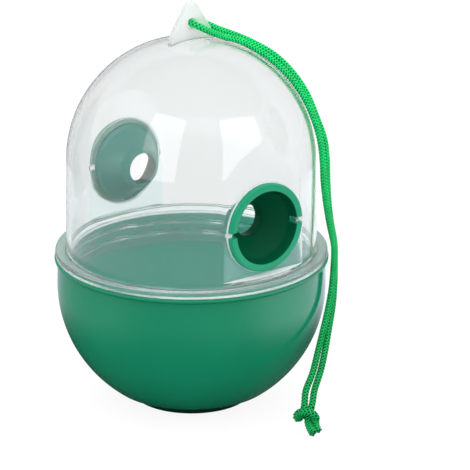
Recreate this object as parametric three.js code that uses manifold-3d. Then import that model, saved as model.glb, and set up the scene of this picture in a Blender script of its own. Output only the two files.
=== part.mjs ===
// Hanging wasp trap: a green bait bowl, a clear dome that screws into it, two green entry
// funnels snapped into flats on the dome, and a knotted hanging cord through the dome's lug.
// Millimetres, +Z up. The origin is the middle of the foot ring, on the surface it stands on.
// The funnels lie along Y, the front one facing -Y. The cord drapes down the dome's side.

import * as THREE from 'three';
import { mergeVertices } from 'three/addons/utils/BufferGeometryUtils.js';
import Module from 'manifold-3d';

const wasm = await Module();
wasm.setup();

// Driving dimensions
const OVERALL_HEIGHT = 120;
const LIP_RADIUS = 40;
const GAP = 0.3; // left between pieces that touch
const ROUND_STEPS = 48; // sides of every turned piece

// Bowl
const FOOT_RADIUS = 17.6;
const FOOT_WALL = 1.9;
const FOOT_HEIGHT = 1.2;
const BOWL_RADIUS = 39.3; // outside, at the widest part of the round
const BOWL_DEPTH = 39.1; // half height of the round
const BOWL_CENTRE_Z = 35.1;
const BOWL_BORE = 37.35; // inside radius where the dome's skirt sits
const BOWL_FLOOR_Z = 2.6;
const RIM_Z = 43.6;
const LIP_HEIGHT = 1.5;

// Dome
const FLANGE_RADIUS = 39.7;
const FLANGE_HEIGHT = 2;
const FLANGE_Z = RIM_Z + GAP;
const WALL_FOOT_RADIUS = 36.6;
const DOME_RADIUS = 36.15;
const DOME_CENTRE_Z = 72.55;
const DOME_WALL = 1.35;
const SKIRT_Z = 35;
const SKIRT_RADIUS = 36.3;
const THREAD_CREST = 36.95;
const THREAD_PITCH = 3.5;
const THREAD_TOP_Z = 41.2;
const THREAD_TURNS = 2;

// Flats for the funnels
const FLAT_Y = 33.8; // outside face of each flat, from the axis
const SHELF_Z = 47.2; // ledge at the foot of each flat
const FUNNEL_Z = { front: 61.3, back: 63.1 };
const HOLE_RADIUS = 11.9;

// Hanging lug
const LUG_THICKNESS = 1.8;
const LUG_BASE_Z = 107.45;
const LUG_BASE_HALF = 7.8;
const LUG_TOP_RADIUS = 2.3;
const LUG_HOLE_Z = 114.2;
const LUG_HOLE_RADIUS = 2.2;

// Entry funnels, measured outwards from the dome's axis
const FUNNEL_FLANGE_RADIUS = 12.9;
const FUNNEL_FLANGE_FOOT = FLAT_Y + GAP;
const FUNNEL_FACE = 35.7;
const MOUTH_RADIUS = 10.65;
const COLLAR_RADIUS = 11.45;
const COLLAR_END = 31.4;
const SNAP_RADIUS = 11.6;
const THROAT_RADIUS = 4.5;
const THROAT_OUTER = 5.9;
const THROAT_START = 26.9;
const THROAT_END = 23.9;
const KEY_WIDTH = 1.2;
const NOTCH_WIDTH = 1.8;
const SLIT_WIDTH = 0.8;
const TAB_WIDTH = 2.8;

// Cord
const CORD_DIAMETER = 2.1;
const CORD_SIDES = 8;
const CORD_STEPS = 56;
const CORD_TURN = THREE.MathUtils.degToRad(-37); // the cord drapes this far round from +X
const KNOT_CENTRE = [32.7, -32.3, 4.25];
const KNOT_RADII = [4.2, 4.1, 4.2];

// Routes are in the cord's own turned frame: out from the axis, sideways, up.
const FRONT_ROUTE = [
  [0.12, -0.16, 114.2], [0.75, -0.95, 114.2], [2.0, -1.6, 113.9], [3.7, -1.35, 113.2],
  [5.5, -0.3, 111.9], [7.7, 1.2, 110.2], [10.4, 2.6, 108.6], [13.5, 3.5, 107.3],
  [18.0, 3.76, 105.0], [24.0, 3.28, 100.9], [29.0, 2.7, 95.85], [33.0, 2.0, 89.8],
  [35.9, 1.2, 83.0], [37.4, 0.7, 77.5], [38.1, 0.2, 72.0], [38.4, -0.3, 66.0],
  [39.2, -0.9, 59.0], [40.2, -1.5, 53.0], [41.5, -2.5, 46.5], [41.3, -5.2, 41.0],
  [40.7, -8.7, 36.0], [39.5, -12.9, 31.0], [37.9, -17.5, 26.0], [36.3, -21.5, 21.0],
  [34.7, -25.3, 16.0], [32.6, -28.8, 11.6], [31.8, -30.6, 8.9],
];
const BACK_ROUTE = [
  [-0.12, 0.16, 114.2], [-0.65, 0.95, 114.25], [-0.75, 2.3, 114.5], [0.2, 3.7, 114.5],
  [2.0, 4.85, 114.0], [4.4, 5.6, 113.1], [7.2, 5.95, 111.8], [11.0, 6.0, 109.8],
  [14.0, 5.95, 108.2], [18.0, 5.8, 106.1], [24.0, 5.3, 102.3], [29.0, 4.75, 97.5],
  [33.3, 4.2, 91.2], [36.3, 3.4, 84.0], [38.6, 2.8, 77.5], [39.3, 2.4, 72.0],
  [39.5, 2.0, 66.0], [39.9, 1.5, 59.0], [40.6, 1.0, 53.0], [41.7, 0.0, 46.5],
  [41.7, -2.6, 41.0], [41.5, -6.1, 36.0], [40.9, -10.2, 31.0], [39.7, -15.2, 26.0],
  [38.5, -19.8, 21.0], [37.0, -24.1, 16.0], [35.1, -28.2, 11.6], [34.1, -30.6, 8.9],
];
const FRONT_TAIL = [[33.6, -34.4, 2.6], [34.1, -37.2, 1.7], [34.4, -40.2, 1.25]];
const BACK_TAIL = [[35.0, -33.2, 3.6], [36.3, -35.2, 2.9], [37.4, -37.4, 2.3]];

const GREEN = new THREE.Color(0.03, 0.34, 0.2);
const BRIGHT_GREEN = new THREE.Color(0.02, 0.62, 0.24);
const CLEAR = new THREE.Color(0.86, 0.9, 0.9);

// Points on a stretch of ellipse, angles in degrees from straight out.
function arc(centreZ, radius, height, from, to, steps) {
  const points = [];
  for (let i = 0; i <= steps; i += 1) {
    const angle = THREE.MathUtils.degToRad(from + ((to - from) * i) / steps);
    points.push([radius * Math.cos(angle), centreZ + height * Math.sin(angle)]);
  }
  return points;
}

// Angle in degrees at which an ellipse reaches the height z.
function angleAt(z, centreZ, height) {
  return THREE.MathUtils.radToDeg(Math.asin((z - centreZ) / height));
}

// A three.js mesh as a manifold solid.
function toSolid(source) {
  const geometry = source.clone();
  geometry.deleteAttribute('normal');
  geometry.deleteAttribute('uv');
  const merged = mergeVertices(geometry, 1e-4);
  const index = merged.index.array;
  const kept = [];
  for (let i = 0; i < index.length; i += 3) {
    const [a, b, c] = [index[i], index[i + 1], index[i + 2]];
    if (a !== b && b !== c && c !== a) {
      kept.push(a, b, c);
    }
  }
  const vertProperties = new Float32Array(merged.attributes.position.array);
  const mesh = new wasm.Mesh({ numProp: 3, vertProperties, triVerts: new Uint32Array(kept) });
  return new wasm.Manifold(mesh);
}

// A manifold solid as a three.js mesh.
function toGeometry(solid) {
  const mesh = solid.getMesh();
  const geometry = new THREE.BufferGeometry();
  geometry.setAttribute('position', new THREE.BufferAttribute(mesh.vertProperties, 3));
  geometry.setIndex(new THREE.BufferAttribute(mesh.triVerts, 1));
  geometry.computeVertexNormals();
  return geometry;
}

// Turned about Y, the profile running upwards on the outside.
function turned(profile, steps = ROUND_STEPS) {
  const points = profile.map(([radius, height]) => new THREE.Vector2(radius, height));
  return new THREE.LatheGeometry(points, steps);
}

// Turned about Z.
function turnedUpright(profile, steps = ROUND_STEPS) {
  return turned(profile, steps).rotateX(Math.PI / 2);
}

// A box between two corners.
function block(low, high) {
  const size = high.map((value, axis) => value - low[axis]);
  const middle = high.map((value, axis) => (value + low[axis]) / 2);
  return new THREE.BoxGeometry(...size).translate(...middle);
}

// A round bar along Y from one end to the other.
function barAlongY(radius, from, to, z) {
  const bar = new THREE.CylinderGeometry(radius, radius, to - from, ROUND_STEPS);
  return bar.translate(0, (from + to) / 2, z);
}

function bowl() {
  const lowestRound = angleAt(FOOT_HEIGHT + 1.2, BOWL_CENTRE_Z, BOWL_DEPTH);
  const boreDepth = BOWL_DEPTH - (BOWL_RADIUS - BOWL_BORE);
  const floorAngle = angleAt(BOWL_FLOOR_Z, BOWL_CENTRE_Z, boreDepth);
  const lipZ = RIM_Z - LIP_HEIGHT;
  return turnedUpright([
    [0, FOOT_HEIGHT],
    [FOOT_RADIUS - FOOT_WALL - 0.2, FOOT_HEIGHT],
    [FOOT_RADIUS - FOOT_WALL, 0],
    [FOOT_RADIUS - 0.2, 0],
    [FOOT_RADIUS, FOOT_HEIGHT + 0.3],
    [FOOT_RADIUS + 2, FOOT_HEIGHT + 0.5],
    ...arc(BOWL_CENTRE_Z, BOWL_RADIUS, BOWL_DEPTH, lowestRound, 0, 11),
    [LIP_RADIUS - 0.95, lipZ - 0.3],
    [LIP_RADIUS - 0.3, lipZ + 0.1],
    [LIP_RADIUS, lipZ + 0.6],
    [LIP_RADIUS, RIM_Z - 0.5],
    [LIP_RADIUS - 0.4, RIM_Z],
    [BOWL_BORE, RIM_Z],
    ...arc(BOWL_CENTRE_Z, BOWL_BORE, boreDepth, 0, floorAngle, 9),
    [0, BOWL_FLOOR_Z],
  ]);
}

// One raised ring of the skirt's thread.
function threadRing(z) {
  return [
    [SKIRT_RADIUS, z - 0.7],
    [THREAD_CREST, z - 0.2],
    [THREAD_CREST, z + 0.2],
    [SKIRT_RADIUS, z + 0.7],
  ];
}

function domeOutside() {
  const flangeTop = FLANGE_Z + FLANGE_HEIGHT;
  const rings = [];
  for (let turn = THREAD_TURNS - 1; turn >= 0; turn -= 1) {
    rings.push(...threadRing(THREAD_TOP_Z - turn * THREAD_PITCH));
  }
  const solid = toSolid(turnedUpright([
    [0, SKIRT_Z],
    [SKIRT_RADIUS, SKIRT_Z],
    ...rings,
    [SKIRT_RADIUS, FLANGE_Z],
    [FLANGE_RADIUS - 0.4, FLANGE_Z],
    [FLANGE_RADIUS, FLANGE_Z + 0.4],
    [FLANGE_RADIUS, flangeTop - 0.4],
    [FLANGE_RADIUS - 0.4, flangeTop],
    [WALL_FOOT_RADIUS, flangeTop],
    ...arc(DOME_CENTRE_Z, DOME_RADIUS, DOME_RADIUS, 0, 90, 11),
  ]));
  return cutFlats(solid, FLAT_Y, SHELF_Z);
}

function domeInside() {
  const innerRadius = DOME_RADIUS - DOME_WALL;
  const solid = toSolid(turnedUpright([
    [0, SKIRT_Z - 1],
    [WALL_FOOT_RADIUS - DOME_WALL, SKIRT_Z - 1],
    ...arc(DOME_CENTRE_Z, innerRadius, innerRadius, 0, 90, 10),
  ]));
  return cutFlats(solid, FLAT_Y - DOME_WALL, SHELF_Z - DOME_WALL);
}

// Shave both sides flat above the ledge.
function cutFlats(solid, flatY, shelfZ) {
  const beyond = LIP_RADIUS + 1;
  const front = toSolid(block([-beyond, -beyond, shelfZ], [beyond, -flatY, OVERALL_HEIGHT]));
  const back = toSolid(block([-beyond, flatY, shelfZ], [beyond, beyond, OVERALL_HEIGHT]));
  return solid.subtract(front).subtract(back);
}

// The lug's outline, a narrow bell with a round top.
function lug() {
  const topCentre = OVERALL_HEIGHT - LUG_TOP_RADIUS;
  const outline = new THREE.Shape();
  outline.moveTo(-LUG_BASE_HALF, LUG_BASE_Z);
  outline.lineTo(LUG_BASE_HALF, LUG_BASE_Z);
  outline.quadraticCurveTo(LUG_BASE_HALF - 0.3, LUG_BASE_Z + 3, LUG_TOP_RADIUS + 2.7, topCentre - 3.6);
  outline.lineTo(LUG_TOP_RADIUS * 0.87, topCentre + LUG_TOP_RADIUS * 0.5);
  outline.absarc(0, topCentre, LUG_TOP_RADIUS, Math.PI / 6, (Math.PI * 5) / 6, false);
  outline.lineTo(-LUG_TOP_RADIUS - 2.7, topCentre - 3.6);
  outline.quadraticCurveTo(-LUG_BASE_HALF + 0.3, LUG_BASE_Z + 3, -LUG_BASE_HALF, LUG_BASE_Z);
  const options = { depth: LUG_THICKNESS, bevelEnabled: false, curveSegments: 8 };
  const plate = new THREE.ExtrudeGeometry(outline, options);
  return plate.rotateX(Math.PI / 2).translate(0, LUG_THICKNESS / 2, 0);
}

// Raised keys beside a funnel hole, which stop the funnel turning.
function keys(side, z) {
  const solids = [];
  for (const end of [-1, 1]) {
    const reach = [end * (HOLE_RADIUS - 0.05), end * (FUNNEL_FLANGE_RADIUS + 0.6)];
    const depth = [side * (FLAT_Y - 0.5), side * (FLAT_Y + 1)];
    const low = [Math.min(...reach), Math.min(...depth), z - KEY_WIDTH / 2];
    const high = [Math.max(...reach), Math.max(...depth), z + KEY_WIDTH / 2];
    solids.push(toSolid(block(low, high)));
  }
  return solids[0].add(solids[1]);
}

function dome() {
  const shell = domeOutside().subtract(domeInside());
  const frontHole = toSolid(barAlongY(HOLE_RADIUS, -LIP_RADIUS, 0, FUNNEL_Z.front));
  const backHole = toSolid(barAlongY(HOLE_RADIUS, 0, LIP_RADIUS, FUNNEL_Z.back));
  const cordHole = toSolid(barAlongY(LUG_HOLE_RADIUS, -LUG_THICKNESS, LUG_THICKNESS, LUG_HOLE_Z));
  const plate = toSolid(lug()).subtract(cordHole);
  const drilled = shell.subtract(frontHole).subtract(backHole);
  const keyed = drilled.add(keys(-1, FUNNEL_Z.front)).add(keys(1, FUNNEL_Z.back));
  return toGeometry(keyed.add(plate));
}

// A funnel about Y, its mouth facing outwards along +Y.
function entryFunnel() {
  const solid = toSolid(turned([
    [THROAT_RADIUS + 0.15, THROAT_END],
    [THROAT_OUTER - 0.3, THROAT_END],
    [THROAT_OUTER, THROAT_END + 0.3],
    [THROAT_OUTER, THROAT_START],
    [COLLAR_RADIUS - 0.9, COLLAR_END],
    [SNAP_RADIUS, COLLAR_END + 0.35],
    [SNAP_RADIUS, COLLAR_END + 0.6],
    [COLLAR_RADIUS, COLLAR_END + 0.9],
    [COLLAR_RADIUS, FUNNEL_FLANGE_FOOT],
    [FUNNEL_FLANGE_RADIUS, FUNNEL_FLANGE_FOOT],
    [FUNNEL_FLANGE_RADIUS, FUNNEL_FACE - 0.5],
    [FUNNEL_FLANGE_RADIUS - 0.5, FUNNEL_FACE],
    [MOUTH_RADIUS, FUNNEL_FACE],
    [MOUTH_RADIUS - 0.4, FUNNEL_FACE - 0.5],
    [MOUTH_RADIUS - 0.65, COLLAR_END + 1.2],
    [THROAT_RADIUS, THROAT_START + 0.2],
    [THROAT_RADIUS, THROAT_END + 0.2],
    [THROAT_RADIUS + 0.15, THROAT_END],
  ], 40));
  let cut = solid;
  for (const end of [-1, 1]) {
    const reach = [end * (MOUTH_RADIUS - 0.9), end * (FUNNEL_FLANGE_RADIUS + 1)];
    const low = [Math.min(...reach), FUNNEL_FLANGE_FOOT - 1, -NOTCH_WIDTH / 2];
    const high = [Math.max(...reach), FUNNEL_FACE + 1, NOTCH_WIDTH / 2];
    cut = cut.subtract(toSolid(block(low, high)));
    const slitX = (end * (TAB_WIDTH + SLIT_WIDTH)) / 2;
    const slitLow = [slitX - SLIT_WIDTH / 2, COLLAR_END - 1, -SNAP_RADIUS - 1];
    const slitHigh = [slitX + SLIT_WIDTH / 2, FLAT_Y - 0.2, -MOUTH_RADIUS + 0.2];
    cut = cut.subtract(toSolid(block(slitLow, slitHigh)));
  }
  return toGeometry(cut);
}

// A round cord along a route.
function cordTube(route, steps) {
  const curve = new THREE.CatmullRomCurve3(route.map((point) => new THREE.Vector3(...point)));
  const section = new THREE.Shape();
  for (let i = 0; i < CORD_SIDES; i += 1) {
    const angle = (2 * Math.PI * i) / CORD_SIDES;
    const [x, y] = [Math.cos(angle), Math.sin(angle)].map((value) => (value * CORD_DIAMETER) / 2);
    if (i === 0) {
      section.moveTo(x, y);
    } else {
      section.lineTo(x, y);
    }
  }
  section.closePath();
  return new THREE.ExtrudeGeometry(section, { steps, extrudePath: curve, bevelEnabled: false });
}

// Both strands tied together, with two short cut ends.
function knot() {
  const ball = new THREE.SphereGeometry(1, 16, 12).scale(...KNOT_RADII).translate(...KNOT_CENTRE);
  const front = toSolid(cordTube(FRONT_TAIL, 6));
  const back = toSolid(cordTube(BACK_TAIL, 6));
  return toGeometry(toSolid(ball).add(front).add(back));
}

function part(name, geometry, color, roughness, opacity = 1) {
  const look = { color, roughness, metalness: 0, opacity, transparent: opacity < 1 };
  const mesh = new THREE.Mesh(geometry, new THREE.MeshStandardMaterial(look));
  mesh.name = name;
  return mesh;
}

const frontFunnel = part('entry_funnel_front', entryFunnel(), GREEN, 0.35);
frontFunnel.position.z = FUNNEL_Z.front;
frontFunnel.rotation.z = Math.PI;

const backFunnel = part('entry_funnel_back', entryFunnel(), GREEN, 0.35);
backFunnel.position.z = FUNNEL_Z.back;

const cord = new THREE.Group();
cord.rotation.z = CORD_TURN;
cord.add(part('cord_front_strand', cordTube(FRONT_ROUTE, CORD_STEPS), BRIGHT_GREEN, 0.8));
cord.add(part('cord_back_strand', cordTube(BACK_ROUTE, CORD_STEPS), BRIGHT_GREEN, 0.8));
cord.add(part('cord_knot', knot(), BRIGHT_GREEN, 0.8));

const waspTrap = new THREE.Group();
waspTrap.add(part('bowl', bowl(), GREEN, 0.3));
waspTrap.add(part('dome', dome(), CLEAR, 0.15, 0.3));
waspTrap.add(frontFunnel, backFunnel, cord);

export default waspTrap;
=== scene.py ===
"""Hanging wasp trap: a green bait bowl, a clear screw-on dome, two green entry funnels and a
braided hanging cord. Shapes are worked out in millimetres and made in metres, in the frame of
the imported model: +Z up, origin under the foot ring, the front funnel facing -Y.
"""

import math

import bmesh
import bpy
import numpy as np
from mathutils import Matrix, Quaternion, Vector


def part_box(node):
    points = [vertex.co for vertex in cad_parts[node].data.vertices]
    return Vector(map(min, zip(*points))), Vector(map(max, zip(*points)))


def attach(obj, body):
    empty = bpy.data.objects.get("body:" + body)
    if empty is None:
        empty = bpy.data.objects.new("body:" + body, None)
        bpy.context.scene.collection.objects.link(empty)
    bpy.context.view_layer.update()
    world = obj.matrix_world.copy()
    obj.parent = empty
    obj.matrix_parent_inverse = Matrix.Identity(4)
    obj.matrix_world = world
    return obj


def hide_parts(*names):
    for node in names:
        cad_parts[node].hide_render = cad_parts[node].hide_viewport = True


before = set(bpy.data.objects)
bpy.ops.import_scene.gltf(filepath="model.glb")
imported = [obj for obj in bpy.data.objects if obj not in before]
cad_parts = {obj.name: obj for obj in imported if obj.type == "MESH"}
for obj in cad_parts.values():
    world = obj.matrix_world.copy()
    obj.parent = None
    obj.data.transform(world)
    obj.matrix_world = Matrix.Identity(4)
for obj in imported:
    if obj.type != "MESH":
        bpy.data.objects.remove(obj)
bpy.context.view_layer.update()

MM = 0.001
TURN = 2 * math.pi
UP = Vector((0, 0, 1))

# ---------------------------------------------------------------- driving dimensions, mm

BOWL_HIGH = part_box("bowl")[1] / MM
DOME_LOW, DOME_HIGH = (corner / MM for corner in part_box("dome"))
LIP_RADIUS = BOWL_HIGH.x
RIM_Z = BOWL_HIGH.z
OVERALL_HEIGHT = DOME_HIGH.z
SKIRT_Z = DOME_LOW.z
FLANGE_RADIUS = DOME_HIGH.x

FOOT_RADIUS = 17.3
FOOT_WALL = 1.9
FOOT_HEIGHT = 1.2
# The foot's darker band is painted shade under the bowl's round.
FOOT_SHADE_REACH = 0.9  # how far the foot's darker edge runs above its hollow
BOWL_RADIUS = 39.3
BOWL_DEPTH = 38.75
BOWL_CENTRE_Z = 35.1
BOWL_BORE = 37.35
BOWL_FLOOR_Z = 3.2
BOWL_ROUND_Z = 3.8  # where the round starts above the foot
BOWL_LIP_HEIGHT = 0.9
GATE_RADIUS = 1.3  # the moulding's gate mark under the bowl
GATE_HEIGHT = 0.35

FLANGE_Z = RIM_Z + 0.3
FLANGE_HEIGHT = 2.0
WALL_FOOT_RADIUS = 36.6
DOME_RADIUS = 36.15
DOME_CENTRE_Z = 72.55
DOME_WALL = 1.35
SKIRT_RADIUS = 36.3
THREAD_HEIGHT = 0.65
THREAD_PITCH = 3.5
THREAD_START = -0.35  # turns from +X
THREAD_END = 1.55
THREAD_Z = 37.2  # height of the thread's middle where it passes +X
FLAT_Y = 33.8
FLAT_EDGE = 0.45  # how far the round wall melts into each flat
FLAT_TINT_RADIUS = 13.6  # of the tinted round behind the back funnel
SHELF_Z = 47.2
FRONT_FUNNEL_Z = 61.3
BACK_FUNNEL_Z = 63.5
HOLE_RADIUS = 11.9

LUG_THICKNESS = 1.8
LUG_BASE_Z = 107.45
LUG_BASE_HALF = 7.8
LUG_TOP_RADIUS = 2.3
LUG_HOLE_Z = 113.5
LUG_HOLE_RADIUS = 1.35

FUNNEL_FLANGE_RADIUS = 12.9
FUNNEL_FLANGE_FOOT = FLAT_Y + 0.3
FUNNEL_FACE = 35.7
MOUTH_RADIUS = 10.65
COLLAR_RADIUS = 11.45
COLLAR_END = 31.4
SNAP_RADIUS = 11.6
THROAT_RADIUS = 4.5
THROAT_OUTER = 5.9
THROAT_START = 26.9
THROAT_END = 23.9
KEY_WIDTH = 1.2
KEY_HEIGHT = 1.0
RIM_GAP = 0.08  # between a funnel's flange and the thin rim round it
RIM_WALL = 0.22
RIM_HEIGHT = 0.6
NOTCH_WIDTH = 1.8
SLIT_WIDTH = 0.8
TAB_WIDTH = 2.8

CORD_DIAMETER = 2.1
CORD_TURN = math.radians(-37)  # the cord drapes this far round from +X

# The routes' points are set in the cord's own turned frame: out from the axis,
# sideways, up.
FRONT_ROUTE = [
    (0.12, -0.16, 113.45), (0.75, -0.95, 113.4), (2.0, -1.6, 113.0), (3.7, -1.35, 112.1),
    (5.5, -0.3, 110.9), (7.7, 1.2, 109.6), (10.4, 2.6, 108.3), (13.5, 3.5, 107.3),
    (18.0, 3.76, 105.0), (24.0, 3.28, 100.9), (29.0, 2.7, 95.85), (33.0, 2.0, 89.8),
    (35.9, 1.2, 83.0), (37.4, 0.7, 77.5), (38.1, 0.2, 72.0), (38.4, -0.3, 66.0),
    (39.2, -0.9, 59.0), (40.2, -1.5, 53.0), (41.5, -2.5, 46.5), (41.3, -5.2, 41.0),
    (40.7, -8.7, 36.0), (39.5, -12.9, 31.0), (37.9, -17.5, 26.0), (36.3, -21.5, 21.0),
    (34.7, -25.3, 16.0), (32.6, -28.8, 11.6), (32.25, -30.6, 8.9),
]
BACK_ROUTE = [
    (-0.12, 0.16, 113.45), (-0.65, 0.95, 113.45), (-0.75, 2.3, 113.4), (0.2, 3.7, 113.4),
    (2.0, 4.7, 112.9), (4.4, 5.2, 111.8), (7.2, 5.5, 110.4), (11.0, 5.9, 108.8),
    (14.0, 5.95, 107.6), (18.0, 5.8, 105.8), (24.0, 5.3, 102.3), (29.0, 4.75, 97.5),
    (33.3, 4.2, 91.2), (36.3, 3.4, 84.0), (38.6, 2.8, 77.5), (39.3, 2.4, 72.0),
    (39.5, 2.0, 66.0), (39.9, 1.5, 59.0), (40.6, 1.0, 53.0), (41.7, 0.0, 46.5),
    (41.7, -2.6, 41.0), (41.5, -6.1, 36.0), (40.9, -10.2, 31.0), (39.7, -15.2, 26.0),
    (38.5, -19.8, 21.0), (37.0, -24.1, 16.0), (35.1, -28.2, 11.6), (34.5, -30.6, 8.9),
]
KNOT_CENTRE = (32.7, -32.3, 4.25)
# The knot, from its centre: the front strand comes in behind, loops over the front of the back
# strand from left to right and leaves as a tail. The back strand runs down through the loop.
KNOT_LOOP_MIDDLE = (0, -0.9, 1.2)
KNOT_LOOP_ACROSS = 2.7  # half its width
KNOT_LOOP_UP = 2.2  # half its height
KNOT_LEAN_TOP = 1.2  # how far its top and its right lean forward
KNOT_LEAN_RIGHT = 0.8
KNOT_LOOP_START = 205  # degrees from its right, through its top
KNOT_LOOP_END = -15
FRONT_KNOT_IN = [(-0.6, 0.8, 3.2), (-0.9, 1.2, 1.4)]
FRONT_TAIL = [(2.7, -1.8, -1.0), (3.4, -3.2, -2.2)]
BACK_KNOT = [
    (1.4, 0.7, 3.4), (1.1, 0.8, 1.9), (0.5, -0.4, 0.4), (0.7, -2.2, -0.8), (1.8, -5.4, -2.0),
]
KNOT_SWELL = 0.13  # how much looser, so thicker, the cord lies in the knot
KNOT_SWELL_OVER = 3  # length over which it loosens

# ---------------------------------------------------------------- camera

AZIMUTH = CORD_TURN
ELEVATION = math.radians(19)
DISTANCE = 1.0
LENS = 263.6
SENSOR = 36.0
MIDDLE_Z = 0.058  # the height that the camera turns about, m
AIM_RIGHT = 0.01265  # how far right of and below it the camera looks, m
AIM_BELOW = 0.0083
VIEW_RIGHT = Vector((math.cos(AZIMUTH), math.sin(AZIMUTH), 0))
VIEW_AWAY = Vector((-math.sin(AZIMUTH), math.cos(AZIMUTH), 0))


def add_camera():
    forward = VIEW_AWAY * math.cos(ELEVATION) - UP * math.sin(ELEVATION)
    upward = VIEW_AWAY * math.sin(ELEVATION) + UP * math.cos(ELEVATION)
    middle = UP * MIDDLE_Z
    eye = middle - forward * DISTANCE
    aim = middle + VIEW_RIGHT * AIM_RIGHT - upward * AIM_BELOW
    data = bpy.data.cameras.new("camera")
    data.lens = LENS
    data.sensor_width = SENSOR
    data.clip_end = 20
    camera = bpy.data.objects.new("camera", data)
    camera.location = eye
    camera.rotation_euler = (aim - eye).to_track_quat("-Z", "Y").to_euler()
    bpy.context.scene.collection.objects.link(camera)
    bpy.context.scene.camera = camera


# ---------------------------------------------------------------- mesh helpers


def make_object(name, points, faces, sharp=40):
    """A mesh object of points in millimetres, smooth except at edges sharper than that."""
    mesh = bpy.data.meshes.new(name)
    mesh.from_pydata((np.asarray(points) * MM).tolist(), [], faces)
    work = bmesh.new()
    work.from_mesh(mesh)
    bmesh.ops.recalc_face_normals(work, faces=work.faces)
    work.to_mesh(mesh)
    work.free()
    obj = bpy.data.objects.new(name, mesh)
    bpy.context.scene.collection.objects.link(obj)
    smoothed(obj, sharp)
    return obj


def smoothed(obj, sharp):
    obj.data.shade_smooth()
    obj.data.set_sharp_from_angle(angle=math.radians(sharp))


def skin(rows, first=None, last=None, wrap=False):
    """Points and faces between rings of points. A single point closes each end, or the last
    ring joins the first."""
    rows = np.asarray(rows)
    count, columns = rows.shape[:2]
    index = np.arange(count * columns).reshape(count, columns)
    upper, lower = (index, np.roll(index, -1, axis=0)) if wrap else (index[:-1], index[1:])
    around = [upper, lower, np.roll(lower, -1, axis=1), np.roll(upper, -1, axis=1)]
    faces = np.stack(around, axis=-1).reshape(-1, 4).tolist()
    points = rows.reshape(-1, 3).tolist()
    for point, ring in ((first, index[0]), (last, index[-1])):
        if point is not None:
            pole = len(points)
            points.append(list(point))
            faces += [(pole, int(a), int(b)) for a, b in zip(ring, np.roll(ring, -1))]
    return points, faces


def turned(outline, columns=256):
    """Rings about Z through an outline of (radius, height)."""
    outline = np.asarray(outline)
    angle = np.linspace(0, TURN, columns, endpoint=False)
    rows = np.empty((len(outline), columns, 3))
    rows[..., 0] = outline[:, :1] * np.cos(angle)
    rows[..., 1] = outline[:, :1] * np.sin(angle)
    rows[..., 2] = outline[:, 1:]
    return rows


def filleted(corners, spacing=1.4):
    """An outline through corners (x, y, fillet), its straight stretches divided evenly."""
    outline = [np.array(corners[0][:2], float)]
    for before, (x, y, radius), after in zip(corners, corners[1:], corners[2:]):
        here = np.array((x, y), float)
        back, ahead = np.array(before[:2]) - here, np.array(after[:2]) - here
        back_long, ahead_long = np.linalg.norm(back), np.linalg.norm(ahead)
        back, ahead = back / back_long, ahead / ahead_long
        between = math.acos(max(-1, min(1, float(back @ ahead))))
        if not radius or between > 3.1:
            outline.append(here)
            continue
        reach = min(radius / math.tan(between / 2), 0.48 * back_long, 0.48 * ahead_long)
        radius = reach * math.tan(between / 2)
        middle = (back + ahead) / np.linalg.norm(back + ahead)
        centre = here + middle * radius / math.sin(between / 2)
        bend = math.pi - between
        start, end = here + back * reach - centre, here + ahead * reach - centre
        steps = max(3, math.ceil(bend / 0.32))
        for t in np.linspace(0, 1, steps + 1):
            along = math.sin((1 - t) * bend) * start + math.sin(t * bend) * end
            outline.append(centre + along / math.sin(bend))
    outline.append(np.array(corners[-1][:2], float))
    divided = [outline[0]]
    for a, b in zip(outline, outline[1:]):
        steps = max(1, math.ceil(np.linalg.norm(b - a) / spacing))
        divided += [a + (b - a) * k / steps for k in range(1, steps + 1)]
    return np.array(divided)


def ellipse(centre_z, radius, height, from_z, to_z, steps):
    """Corners with no fillet on an ellipse between two heights."""
    start, end = (math.asin((z - centre_z) / height) for z in (from_z, to_z))
    return [
        (radius * math.cos(a), centre_z + height * math.sin(a), 0)
        for a in np.linspace(start, end, steps)
    ]


def rounded_box(low, high, radius):
    """Points and faces of a box with rounded edges."""
    work = bmesh.new()
    bmesh.ops.create_cube(work, size=1)
    for vertex in work.verts:
        for axis in range(3):
            vertex.co[axis] = high[axis] if vertex.co[axis] > 0 else low[axis]
    bmesh.ops.bevel(work, geom=work.edges, offset=radius, segments=3, profile=0.5, affect="EDGES")
    points = [list(vertex.co) for vertex in work.verts]
    faces = [[vertex.index for vertex in face.verts] for face in work.faces]
    work.free()
    return points, faces


def joined(parts):
    """Several (points, faces) as one."""
    points, faces = [], []
    for more_points, more_faces in parts:
        base = len(points)
        points += [list(point) for point in more_points]
        faces += [[base + corner for corner in face] for face in more_faces]
    return points, faces


def combine(obj, operation, tools, sharp=40):
    """Joins closed tools to an object or cuts them from it."""
    tool = make_object("tool", *joined(tools))
    modifier = obj.modifiers.new("combine", "BOOLEAN")
    modifier.operation = operation
    modifier.solver = "MANIFOLD"
    modifier.object = tool
    graph = bpy.context.evaluated_depsgraph_get()
    mesh = bpy.data.meshes.new_from_object(obj.evaluated_get(graph))
    obj.modifiers.clear()
    obj.data = mesh
    bpy.data.objects.remove(tool)
    smoothed(obj, sharp)


def smooth_step(value):
    value = np.clip(value, 0, 1)
    return value * value * (3 - 2 * value)


def smooth_min(a, b, width):
    share = np.clip(0.5 + 0.5 * (b - a) / width, 0, 1)
    return b + (a - b) * share - width * share * (1 - share)


# ---------------------------------------------------------------- materials


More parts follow.
